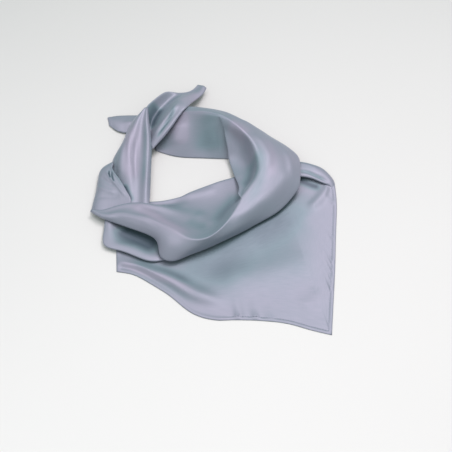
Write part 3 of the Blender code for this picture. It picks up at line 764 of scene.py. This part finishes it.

# %% [markdown]
# ## Listed creases
#
# The tables give the large folds. What makes satin read as satin are the shallow ones between
# them, because a slight change of slope moves a highlight by a hand's width. Each is a short
# line in plan with its own width and height, raised or sunk along the cloth's normal, and it
# fades at both ends.

# %% Shallow troughs and ridges
RING_CREASES = (
    (((-120, -17), (-95, -24), (-70, -38)), 3.0, 0.6),
    (((-100, -2), (-78, -14), (-60, -22)), 4.5, 0.7),
    (((20, -30), (34, -24), (48, -14), (60, 2)), 5.0, 0.8),
    (((50, -14), (66, 2), (82, 22), (88, 44)), 6.0, 0.9),
    (((60, 34), (66, 56), (60, 76), (48, 92)), 5.0, 0.9),
    (((88, 20), (94, 38), (92, 58), (84, 76)), 5.0, 0.7),
    (((14, 116), (-10, 128), (-40, 135)), 4.0, 0.6),
    (((30, 116), (48, 110), (66, 98)), 5.0, 0.8),
    (((-50, 92), (-48, 106), (-44, 120)), 9.0, 1.6),
    (((-4, 84), (-6, 100), (-8, 112)), 7.0, 1.0),
    (((-40, 16), (-20, 20), (4, 28)), 5.0, 0.7),
    (((-72, -2), (-50, 0), (-26, 4)), 5.0, 0.6),
    (((-90, -10), (-77, -18), (-58, -32), (-40, -45), (-26, -54)), 7.5, 1.1),
    (((-24, -10), (-10, -22), (-2, -34)), 6.0, 0.8),
    (((-52, 142), (-24, 141), (4, 134), (30, 122)), 3.6, 0.9),
    (((-20, 133), (6, 128), (34, 114), (56, 104)), 3.0, 0.7),
    (((50, 116), (74, 100), (90, 84), (98, 66)), 4.0, 0.9),
    (((76, 88), (88, 72), (93, 52), (92, 34)), 4.2, 0.8),
    (((-64, 144), (-44, 146), (-20, 143)), 2.6, 0.6),
)
LEFT_CREASES = (
    (((-112, 96), (-116, 70), (-113, 40)), 2.6, 1.2),
    (((-98, 100), (-98, 70), (-96, 34)), 2.2, -0.9),
    (((-104, 112), (-107, 84), (-104, 52)), 2.0, 0.9),
    (((-122, 80), (-122, 62), (-120, 44)), 2.2, -0.9),
)
CORNER_CREASES = (
    (((-129.6, 50.5), (-129.2, 44.5), (-127.2, 39)), 0.9, -1.4),
    (((-126.4, 48.5), (-125.2, 41), (-122.6, 33)), 0.9, -1.15),
    (((-136, 53), (-128, 40), (-117, 24), (-105, 8)), 1.6, 1.0),
    (((-130, 62), (-124, 48), (-114, 34), (-102, 14)), 1.4, 0.9),
    (((-146, 30), (-134, 22), (-118, 16)), 3.0, 0.9),
    (((-146, 12), (-130, 12), (-112, 12)), 3.4, -0.8),
    (((-140, 44), (-130, 32), (-118, 26)), 2.4, -0.8),
)
UPPER_CREASES = (
    (((-78, 92), (-70, 106), (-62, 118), (-52, 132), (-46, 146)), 2.6, 1.5),
    (((-70, 90), (-58, 106), (-46, 120), (-38, 134)), 2.2, 1.1),
    (((-74, 96), (-64, 110), (-54, 122), (-44, 136)), 2.0, -1.3),
    (((-82, 110), (-78, 128), (-70, 144)), 4.0, -1.2),
    (((-46, 168), (-34, 172), (-22, 178)), 1.8, 0.6),
)
ROLL_CREASES = (
    (((96, 53), (112, 52), (126, 46), (142, 38)), 1.8, -1.1),
    (((100, 66), (114, 64), (128, 57)), 2.6, 0.6),
)
TAIL_CREASES = (
    (((-84, 134), (-100, 133), (-118, 132)), 3.0, 0.9),
    (((-92, 126), (-106, 124), (-122, 126)), 2.2, -0.7),
)
for cloth, creases in ((ring, RING_CREASES), (left_cloth, LEFT_CREASES),
                       (corner_cloth, CORNER_CREASES), (upper_tail_cloth, UPPER_CREASES),
                       (left_tail_cloth, TAIL_CREASES), (roll_cloth, ROLL_CREASES)):
    press_creases(cloth, creases)

cloths = [ring, panel_cloth, roll_cloth, under_cloth, left_cloth, corner_cloth,
          upper_tail_cloth, left_tail_cloth]
for cloth in cloths:
    one_side = sum(face.area for face in cloth.data.polygons)
    give_wall(cloth)
    print(cloth.name, f"one side {one_side * 1e4:.0f} cm2")

# %% [markdown]
# ## Painted shade and highlights
#
# The satin is lavender where lit. Its shade is painted in as teal, and as deep teal in the darkest
# hollows, slits and under folds. Slope decides most of it: the shader reads the normal and paints
# slopes that tilt backwards teal. The rest is set by soft lines in plan like those of the creases,
# each with its half width and how much painted shade it gives, or painted lavender highlight where
# it is below nought.

# %% Painted shade and highlights: where the cloth is painted teal or lavender
RING_SHADE_AND_HIGHLIGHT = (
    (((-104, -2), (-90, -8), (-77, -16), (-58, -32), (-40, -45), (-26, -54)), 7.0, -0.7),
    (((-70, 2), (-44, -6), (-24, -10), (-4, -18)), 8.0, 0.35),
    (((-34, -22), (-18, -34), (-6, -36)), 8.0, 0.4),
    (((-2, -34), (10, -12), (20, 8), (28, 24)), 8.0, 0.45),
    (((-7, 124), (-6.7, 104), (-6.6, 84)), 18.0, 0.6),
    (((-30, 96), (-4, 88), (20, 84)), 12.0, 0.35),
    (((-41.5, 134), (-41.4, 113), (-41, 90)), 7.0, -0.9),
    (((-63, 110), (-64, 88)), 9.0, 0.5),
    (((16, 106), (31, 98), (42, 86)), 8.0, -0.45),
    (((48, 66), (46, 42), (38, 26), (30, 20)), 8.0, 0.7),
    (((22, 76), (26, 58), (28, 38)), 7.0, 0.25),
    (((60, 95), (68, 71), (70, 42), (60, 18)), 6.0, -0.3),
    (((46, 84), (55, 64), (58, 40), (50, 10), (34, -16)), 6.0, 0.5),
    (((-58, -70), (-28, -68), (1, -56), (31, -36), (67, -7), (92, 17)), 8.0, 0.2),
    (((-28, -60), (0, -44), (26, -22)), 8.0, 0.12),
)
PANEL_SHADE_AND_HIGHLIGHT = (
    (((-66, -78), (-40, -84), (-16, -86), (10, -76), (30, -56), (62, -30), (92, -4), (112, 20)),
     26.0, 1.0),
    (((-104, -72), (-70, -84), (-44, -96), (-20, -110)), 7.0, 0.6),
    (((-113, -72), (-87, -90), (-51, -103), (-16, -123)), 5.5, -0.5),
    (((-20, -100), (50, -88), (130, -72)), 24.0, 0.4),
    (((40, -52), (80, -34), (120, -14)), 24.0, 0.3),
    (((104, 30), (106, 4), (118, -12)), 14.0, 0.3),
    (((98, 46), (108, 42), (120, 36), (132, 32)), 5.0, 1.8),
    (((-112, -80), (-87, -96), (-60, -106), (-34, -124), (-12, -136)), 4.5, 0.35),
)
UNDER_PAINTED_SHADE = (
    (((-116, -22), (-108, -34), (-92, -42), (-76, -51), (-62, -60)), 13.0, 1.9),
)
LEFT_SHADE_AND_HIGHLIGHT = (
    (((-116, 96), (-119, 81), (-122, 55), (-117, 31), (-110, 14)), 6.0, 0.35),
    (((-86.4, 124), (-86.6, 81), (-87, 22)), 2.2, 0.5),
    (((-80, 112), (-77.5, 67), (-78.4, 16)), 2.2, 0.6),
    (((-104, 118), (-105, 92), (-106, 64), (-102, 30)), 8.0, -0.5),
    (((-96, 118), (-96.3, 80), (-97, 36)), 4.0, -0.4),
    (((-112, 32), (-106, 18), (-99, 4)), 3.6, 2.2),
)
CORNER_PAINTED_SHADE = (
    (((-129.8, 52), (-129.2, 44.5), (-127, 37.5)), 0.9, 2.6),
    (((-126.6, 50.5), (-125.2, 41), (-122.2, 31.5)), 0.8, 2.4),
    (((-128, 60), (-120, 44), (-108, 24)), 4.0, 0.5),
)
UPPER_SHADE_AND_HIGHLIGHT = (
    (((-82, 112), (-80, 124), (-76, 136), (-68, 150)), 8.0, 1.7),
    (((-74, 92), (-64, 107), (-55, 122), (-50, 140)), 2.0, 1.3),
    (((-46, 142), (-38, 154), (-22, 178)), 8.0, -0.4),
)
ROLL_PAINTED_SHADE = (
    (((98, 53), (112, 52), (126, 46), (138, 40)), 2.0, 1.0),
    (((98, 62), (112, 60), (126, 54)), 5.0, 0.3),
)


def paint_shade_and_highlight(piece, lines):
    """Store how much painted shade each point of a cloth gets, or painted highlight below nought.
    """
    amount = crease_rise(table_points(piece.data)[:, :2], lines)
    # The attribute holds the painted shade and highlight amounts.
    turn = piece.data.attributes.new("turn", "FLOAT", "POINT")
    turn.data.foreach_set("value", amount.astype(np.float32))
    print(piece.name, "turned by", len(lines), "lines")


for cloth, lines in ((ring, RING_SHADE_AND_HIGHLIGHT), (panel_cloth, PANEL_SHADE_AND_HIGHLIGHT), (roll_cloth, ROLL_PAINTED_SHADE),
                     (under_cloth, UNDER_PAINTED_SHADE), (left_cloth, LEFT_SHADE_AND_HIGHLIGHT),
                     (corner_cloth, CORNER_PAINTED_SHADE), (upper_tail_cloth, UPPER_SHADE_AND_HIGHLIGHT)):
    paint_shade_and_highlight(cloth, lines)

# %% [markdown]
# ## A few helpers for materials
#
# A material can be wired by hand in the shader editor. Here each kind of node has a short
# helper that takes its inputs and gives back its output, so that a material reads like a sum.

# %% Short ways to build a node tree
def wire(tree, node, inputs):
    """Give a node's inputs a value each, or link them to another node's output."""
    for name, value in inputs.items():
        if isinstance(value, bpy.types.NodeSocket):
            tree.links.new(value, node.inputs[name])
        else:
            node.inputs[name].default_value = value


def add_node(tree, kind, inputs=None, **settings):
    """A node of a kind with its settings and its inputs."""
    node = tree.nodes.new(kind)
    for name, value in settings.items():
        setattr(node, name, value)
    wire(tree, node, inputs or {})
    return node


def maths(tree, operation, *values):
    """What a Math node makes of its values."""
    node = add_node(tree, "ShaderNodeMath", dict(enumerate(values)), operation=operation)
    return node.outputs["Value"]


def noise(tree, vector, scale, detail):
    """Noise read at a vector."""
    node = add_node(tree, "ShaderNodeTexNoise",
                    {"Vector": vector, "Scale": scale, "Detail": detail})
    return node.outputs["Fac"]


def stretched(tree, vector, scale):
    """A vector with each axis scaled."""
    node = add_node(tree, "ShaderNodeMapping", {"Vector": vector, "Scale": scale})
    return node.outputs["Vector"]


def object_place(tree):
    """Where a point lies on its object."""
    return add_node(tree, "ShaderNodeTexCoord").outputs["Object"]


def blend(tree, share, first, second):
    """A mix of two amounts."""
    node = add_node(tree, "ShaderNodeMix", {0: share, 2: first, 3: second}, data_type="FLOAT")
    return node.outputs[0]


def bumped(tree, height, strength, distance):
    """The normal over a fine relief."""
    node = add_node(tree, "ShaderNodeBump",
                    {"Height": height, "Strength": strength, "Distance": distance})
    return node.outputs["Normal"]


def ramp(tree, amount, stops):
    """The colour at an amount: stops are (position, colour), from the first to the last."""
    node = add_node(tree, "ShaderNodeValToRGB", {"Fac": amount})
    elements = node.color_ramp.elements
    first, *between, last = stops
    for element, (position, colour) in ((elements[0], first), (elements[1], last)):
        element.position = position
        element.color = colour + (1,)
    for position, colour in between:
        elements.new(position).color = colour + (1,)
    return node.outputs["Color"]


def new_material(name):
    """A material, its node tree and its shader."""
    made = bpy.data.materials.new(name)
    made.use_nodes = True
    return made, made.node_tree, made.node_tree.nodes["Principled BSDF"]


# %% [markdown]
# ## Satin
#
# Satin shows long floating warp threads, so it shines along one direction. Its shade is painted
# into the base colour: the shader paints slopes that tilt backwards teal, adds the stored painted
# shade and highlights, and gives random tone from a cloud and the streaks. It adds uneven threads
# that break the shine up, and a fine weave in the bump.
# The UV map lays the threads along each fold.

# %% The satin
# Lavender is the lit satin; teal and deep teal are shade painted into its base colour.
LAVENDER = (0.300, 0.290, 0.354)
SHADE_TEAL = (0.170, 0.236, 0.262)
DEEP_SHADE_TEAL = (0.060, 0.098, 0.120)
SHINE = (1.0, 0.84, 1.0, 1)
BACKWARDS = (-0.25, 0.95, 0.1)


def satin(name):
    """Woven satin: lavender with painted teal shade, streaks of thread, weave bump and a lavender
    shine.
    """
    made, tree, shader = new_material(name)
    uv = add_node(tree, "ShaderNodeUVMap", uv_map="cloth").outputs["UV"]
    streaks = noise(tree, stretched(tree, uv, (6, 110, 1)), scale=1.0, detail=3.0)
    cloud = noise(tree, object_place(tree), scale=16.0, detail=2.0)
    normal = add_node(tree, "ShaderNodeNewGeometry").outputs["Normal"]
    # Painted shade: the further a slope tilts BACKWARDS, the more teal its base colour.
    slope = add_node(tree, "ShaderNodeVectorMath", {0: normal, 1: BACKWARDS},
                     operation="DOT_PRODUCT")
    shade_by_slope = add_node(tree, "ShaderNodeMapRange", {
        "Value": slope.outputs["Value"], "From Min": 0.1, "From Max": 0.7, "To Max": 0.75})
    # The stored painted shade and highlights.
    amount = add_node(tree, "ShaderNodeAttribute", attribute_name="turn").outputs["Fac"]
    for source, weight, lift in ((shade_by_slope.outputs["Result"], 1.0, 0.0), (cloud, 0.5, -0.05),
                                 (streaks, 0.3, -0.05)):
        amount = maths(tree, "ADD", amount, maths(tree, "MULTIPLY_ADD", source, weight, lift))
    rough = add_node(tree, "ShaderNodeMapRange",
                     {"Value": streaks, "To Min": 0.45, "To Max": 0.57})
    warp = add_node(tree, "ShaderNodeTexWave", {"Vector": uv, "Scale": 105.0},
                    bands_direction="Y")
    weft = add_node(tree, "ShaderNodeTexWave", {"Vector": uv, "Scale": 46.0},
                    bands_direction="DIAGONAL")
    threads = blend(tree, 0.3, warp.outputs["Fac"], weft.outputs["Fac"])
    tangent = add_node(tree, "ShaderNodeTangent", direction_type="UV_MAP", uv_map="cloth")
    # Base colour: lavender where lit, teal and deep teal as painted shade; cloud and streaks add
    # random tone.
    wire(tree, shader, {
        "Base Color": ramp(tree, maths(tree, "MULTIPLY", amount, 0.5),
                           ((0.0, LAVENDER), (0.5, SHADE_TEAL), (1.0, DEEP_SHADE_TEAL))),
        "Roughness": rough.outputs["Result"],
        "Normal": bumped(tree, threads, strength=0.2, distance=0.00003),
        "Tangent": tangent.outputs["Tangent"],
        "Metallic": 0.2,
        "Specular IOR Level": 0.85,
        "Specular Tint": SHINE,
        "Anisotropic": 0.45,
        "Sheen Weight": 0.22,
        "Sheen Roughness": 0.4,
        "Sheen Tint": (0.93, 0.84, 1.0, 1),
    })
    return made


satin_cloth = satin("lilac_grey_satin")
for cloth in cloths:
    cloth.data.materials.clear()
    cloth.data.materials.append(satin_cloth)
print(satin_cloth.name, "has", len(satin_cloth.node_tree.nodes), "nodes")

# %% [markdown]
# The hidden layers inside the folds were packed as rounded solids. Little of them shows, only a
# dim edge between layers. Here they are a little leaner, so that a crease above never meets
# them, and their satin is read from Object coordinates, since they have no UV map.

# %% Satin for the hidden layers
def inner_satin(name):
    """The satin of the hidden layers, read from Object coordinates: a banded relief with painted
    shade in its low bands.
    """
    made, tree, shader = new_material(name)
    edges = noise(tree, stretched(tree, object_place(tree), (9, 9, 420)), scale=1.0, detail=3.0)
    wire(tree, shader, {
        # Painted shade: the low bands of the relief are dark, as shade between stacked layers.
        "Base Color": ramp(tree, edges, ((0.3, (0.12, 0.15, 0.19)), (0.7, LAVENDER))),
        "Normal": bumped(tree, edges, strength=0.6, distance=0.0008),
        "Roughness": 0.45,
        "Specular Tint": SHINE,
        "Sheen Weight": 0.25,
    })
    return made


inside_satin = inner_satin("inner_layers_satin")
LEANER = {"folds_front": (2.6, 1.0), "folds_right": (3.0, 1.0), "folds_back": (1.0, 1.0),
          "folds_left": (1.4, 0.95), "folds_corner": (1.6, 0.78)}
FLAT_BELOW = 0.0004
LEAST_HEIGHT = 0.0002


def hidden_layers(node):
    """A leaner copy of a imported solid, so that no cloth above it is pierced."""
    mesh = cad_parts[node].data.copy()
    mesh.name = node + "_layers"
    made = bmesh.new()
    made.from_mesh(mesh)
    bmesh.ops.remove_doubles(made, verts=made.verts, dist=0.00001)
    bmesh.ops.recalc_face_normals(made, faces=made.faces)
    made.normal_update()
    inset, share = LEANER[node]
    low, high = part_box(node)
    middle = (low.x + high.x) / 2
    for vert in made.verts:
        vert.co.x = middle + (vert.co.x - middle) * share
        if vert.co.z > FLAT_BELOW:
            vert.co -= vert.normal * inset * TO_METRES
            vert.co.z = max(vert.co.z, LEAST_HEIGHT)
    made.to_mesh(mesh)
    made.free()
    mesh.materials.clear()
    mesh.materials.append(inside_satin)
    mesh.shade_smooth()
    return report(new_object(node + "_layers", mesh))


hidden_pieces = {node: hidden_layers(node) for node in LEANER}

# %% [markdown]
# ## Stitches
#
# A machine stitch is a short bar of thread that dips into the cloth at both ends. A few hundred
# of them follow the hems, so Geometry Nodes set them out: the path becomes a curve, the curve is
# cut into equal pitches, and one small bar is placed and turned at each.

# %% A tree that sets stitches along a path
def stitch_tree(thread):
    """Geometry Nodes that place small bars along a path of edges."""
    tree = bpy.data.node_groups.new("Stitches along a path", "GeometryNodeTree")
    for name, kind in (("Geometry", "Geometry"), ("Pitch", "Float"), ("Stitch length", "Float"),
                       ("Thread radius", "Float"), ("Seed", "Int")):
        tree.interface.new_socket(name, in_out="INPUT", socket_type="NodeSocket" + kind)
    tree.interface.new_socket("Geometry", in_out="OUTPUT", socket_type="NodeSocketGeometry")
    given = tree.nodes.new("NodeGroupInput").outputs
    path = add_node(tree, "GeometryNodeMeshToCurve", {"Mesh": given["Geometry"]})
    cut = add_node(tree, "GeometryNodeResampleCurve",
                   {"Curve": path.outputs["Curve"], "Length": given["Pitch"]}, mode="LENGTH")
    bar = add_node(tree, "GeometryNodeMeshUVSphere", {"Segments": 6, "Rings": 5, "Radius": 1.0})
    tangent = add_node(tree, "GeometryNodeInputTangent")
    turn = add_node(tree, "FunctionNodeAlignRotationToVector",
                    {"Vector": tangent.outputs["Tangent"]}, axis="X")
    shape = add_node(tree, "ShaderNodeCombineXYZ", {
        "X": maths(tree, "MULTIPLY", given["Stitch length"], 0.5),
        "Y": given["Thread radius"], "Z": given["Thread radius"]})
    uneven = add_node(tree, "FunctionNodeRandomValue",
                      {2: 0.85, 3: 1.12, "Seed": given["Seed"]}, data_type="FLOAT")
    size = add_node(tree, "ShaderNodeVectorMath",
                    {0: shape.outputs["Vector"], "Scale": uneven.outputs[1]}, operation="SCALE")
    place = add_node(tree, "GeometryNodeInstanceOnPoints", {
        "Points": cut.outputs["Curve"], "Instance": bar.outputs["Mesh"],
        "Rotation": turn.outputs["Rotation"], "Scale": size.outputs["Vector"]})
    real = add_node(tree, "GeometryNodeRealizeInstances",
                    {"Geometry": place.outputs["Instances"]})
    finish = add_node(tree, "GeometryNodeSetMaterial",
                      {"Geometry": real.outputs["Geometry"], "Material": thread})
    add_node(tree, "NodeGroupOutput", {"Geometry": finish.outputs["Geometry"]})
    return tree


def thread_material():
    """Polyester thread: a little lighter than the satin, twisted, with painted shade between its
    plies and a soft shine.
    """
    made, tree, shader = new_material("lilac_thread")
    # Painted shade: diagonal bands darken the twist between the plies.
    twist = add_node(tree, "ShaderNodeTexWave", {
        "Vector": object_place(tree), "Scale": 900.0, "Distortion": 1.5},
        bands_direction="DIAGONAL")
    wire(tree, shader, {
        "Base Color": ramp(tree, twist.outputs["Fac"],
                           ((0.0, (0.20, 0.22, 0.29)), (1.0, (0.36, 0.37, 0.46)))),
        "Roughness": 0.5,
        "Sheen Weight": 0.3,
    })
    return made


thread = thread_material()
stitches_tree = stitch_tree(thread)
STITCH_SETTINGS = {"Pitch": 0.0031, "Stitch length": 0.0024, "Thread radius": 0.00028, "Seed": 4}
print(stitches_tree.name, "takes", ", ".join(STITCH_SETTINGS))

# %% Set out the stitches on each hem
def sew(name, paths):
    """Stitches along the paths, as one plain mesh."""
    mesh = bpy.data.meshes.new(name + "_path")
    points, edges = [], []
    for path in paths:
        first = len(points)
        points.extend(in_metres(path).tolist())
        edges.extend((first + step, first + step + 1) for step in range(len(path) - 1))
    mesh.from_pydata(points, edges, [])
    guide = new_object(name + "_guide", mesh)
    modifier = guide.modifiers.new("Stitches", "NODES")
    modifier.node_group = stitches_tree
    for socket in stitches_tree.interface.items_tree:
        if socket.in_out == "INPUT" and socket.name in STITCH_SETTINGS:
            modifier[socket.identifier] = STITCH_SETTINGS[socket.name]
    bpy.context.view_layer.update()
    evaluated = guide.evaluated_get(bpy.context.evaluated_depsgraph_get())
    plain = bpy.data.meshes.new_from_object(evaluated)
    plain.name = name
    bpy.data.objects.remove(guide)
    plain.shade_smooth()
    return report(new_object(name, plain))


sewn_rows = panel[:, -1, 0] > HEM_START + HEM_BLEND
hem_line = panel_grid[:, columns - 1][sewn_rows] + (0, 0, STITCH_LIFT)
tail_line = tail[-len(end_rows), 2:-2] + (0, 0, STITCH_LIFT)
hem_stitches = sew("hem_stitches", [hem_line])
tail_stitches = sew("tail_stitches", [tail_line])

# %% [markdown]
# ## What stands for what
#
# Each cloth hides the imported solid that it replaces and rides with the scarf.

# %% Tie the pieces to the frame
DRESSING = (
    (ring, ("front_band", "right_band", "back_roll", "back_wall")),
    (panel_cloth, ("point_panel", "edge_fold", "hem_lower", "hem_right")),
    (roll_cloth, ("panel_roll",)),
    (under_cloth, ("under_layer",)),
    (left_cloth, ("left_band",)),
    (corner_cloth, ("corner_layer",)),
    (upper_tail_cloth, ("upper_tail",)),
    (left_tail_cloth, ("left_tail", "hem_left_tail")),
)
for piece, nodes in DRESSING:
    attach(piece, "root")
    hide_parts(*nodes)
for node, piece in hidden_pieces.items():
    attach(piece, "root")
    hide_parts(node)
for piece, place in ((hem_stitches, "hem_lower"), (tail_stitches, "hem_left_tail")):
    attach(piece, "root")
print("nodes replaced:", sum(len(nodes) for _, nodes in DRESSING) + len(hidden_pieces))

print("cloths declared:", len(DRESSING))

# %% [markdown]
# ## Table, light and camera
#
# A broad soft light hangs overhead and a small key light stands behind and to the right, so
# satin that faces them mirrors them into the camera. The teal on slopes that tilt backwards is
# shade painted into the satin. A weak light fills in from the front left. The table is pale and
# dull, with painted light falloff that darkens it towards the back. The camera looks down at 55
# degrees through a long lens.

# %% The table
def table_material():
    """A pale matt board, with painted light falloff darker towards the back and a faint
    unevenness.
    """
    made, tree, shader = new_material("pale_table")
    place = object_place(tree)
    axes = add_node(tree, "ShaderNodeSeparateXYZ", {"Vector": place})
    # Painted light falloff: the board's colour darkens towards the back.
    depth = add_node(tree, "ShaderNodeMapRange", {
        "Value": axes.outputs["Y"], "From Min": 0.35, "From Max": -0.45})
    grain = noise(tree, place, scale=3.0, detail=2.0)
    wire(tree, shader, {
        "Base Color": ramp(tree, blend(tree, 0.06, depth.outputs["Result"], grain),
                           ((0.0, (0.562, 0.555, 0.528)), (1.0, (0.885, 0.845, 0.812)))),
        "Roughness": 0.9,
        "Specular IOR Level": 0.9,
    })
    return made


bpy.ops.mesh.primitive_plane_add(size=8)
floor = bpy.context.active_object
floor.name = "table"
floor.data.materials.append(table_material())
print(floor.name, "finished with", floor.data.materials[0].name)

# %% Light and camera
def softbox(name, place, size, energy, colour):
    """A rectangular soft light turned towards the frame's origin."""
    light = bpy.data.lights.new(name, "AREA")
    light.shape = "RECTANGLE"
    light.size, light.size_y = size
    light.energy = energy
    light.color = colour
    made = new_object(name, light)
    made.location = place
    made.rotation_euler = (-Vector(place)).to_track_quat("-Z", "Y").to_euler()


softbox("key", (0.36, 0.50, 1.15), (0.45, 0.45), 6.6, (1.0, 0.94, 1.0))
softbox("overhead", (0.0, 0.12, 1.5), (1.5, 0.9), 11.0, (1.0, 0.94, 1.0))
softbox("front_fill", (-0.5, -0.9, 0.7), (1.2, 1.2), 1.8, (0.85, 1.0, 0.97))
world = bpy.data.worlds.new("studio")
world.use_nodes = True
wire(world.node_tree, world.node_tree.nodes["Background"],
     {"Color": (0.85, 0.98, 1.0, 1), "Strength": 0.55})
bpy.context.scene.world = world
bpy.context.scene.view_settings.view_transform = "Standard"

TILT = math.radians(55)
TARGET = Vector((0.01515, -0.033928, 0.0))
DISTANCE = 1.50667
back = Vector((0.0, -math.cos(TILT), math.sin(TILT)))
up = Vector((0.0, math.sin(TILT), math.cos(TILT)))
camera = bpy.data.cameras.new("photo_view")
camera.lens = 100
camera.sensor_width = 36
viewer = new_object("photo_view", camera)
turned = Matrix((up.cross(back), up, back)).transposed().to_4x4()
viewer.matrix_world = Matrix.Translation(TARGET + back * DISTANCE) @ turned
bpy.context.scene.camera = viewer
print("camera at", [round(part, 4) for part in viewer.location])
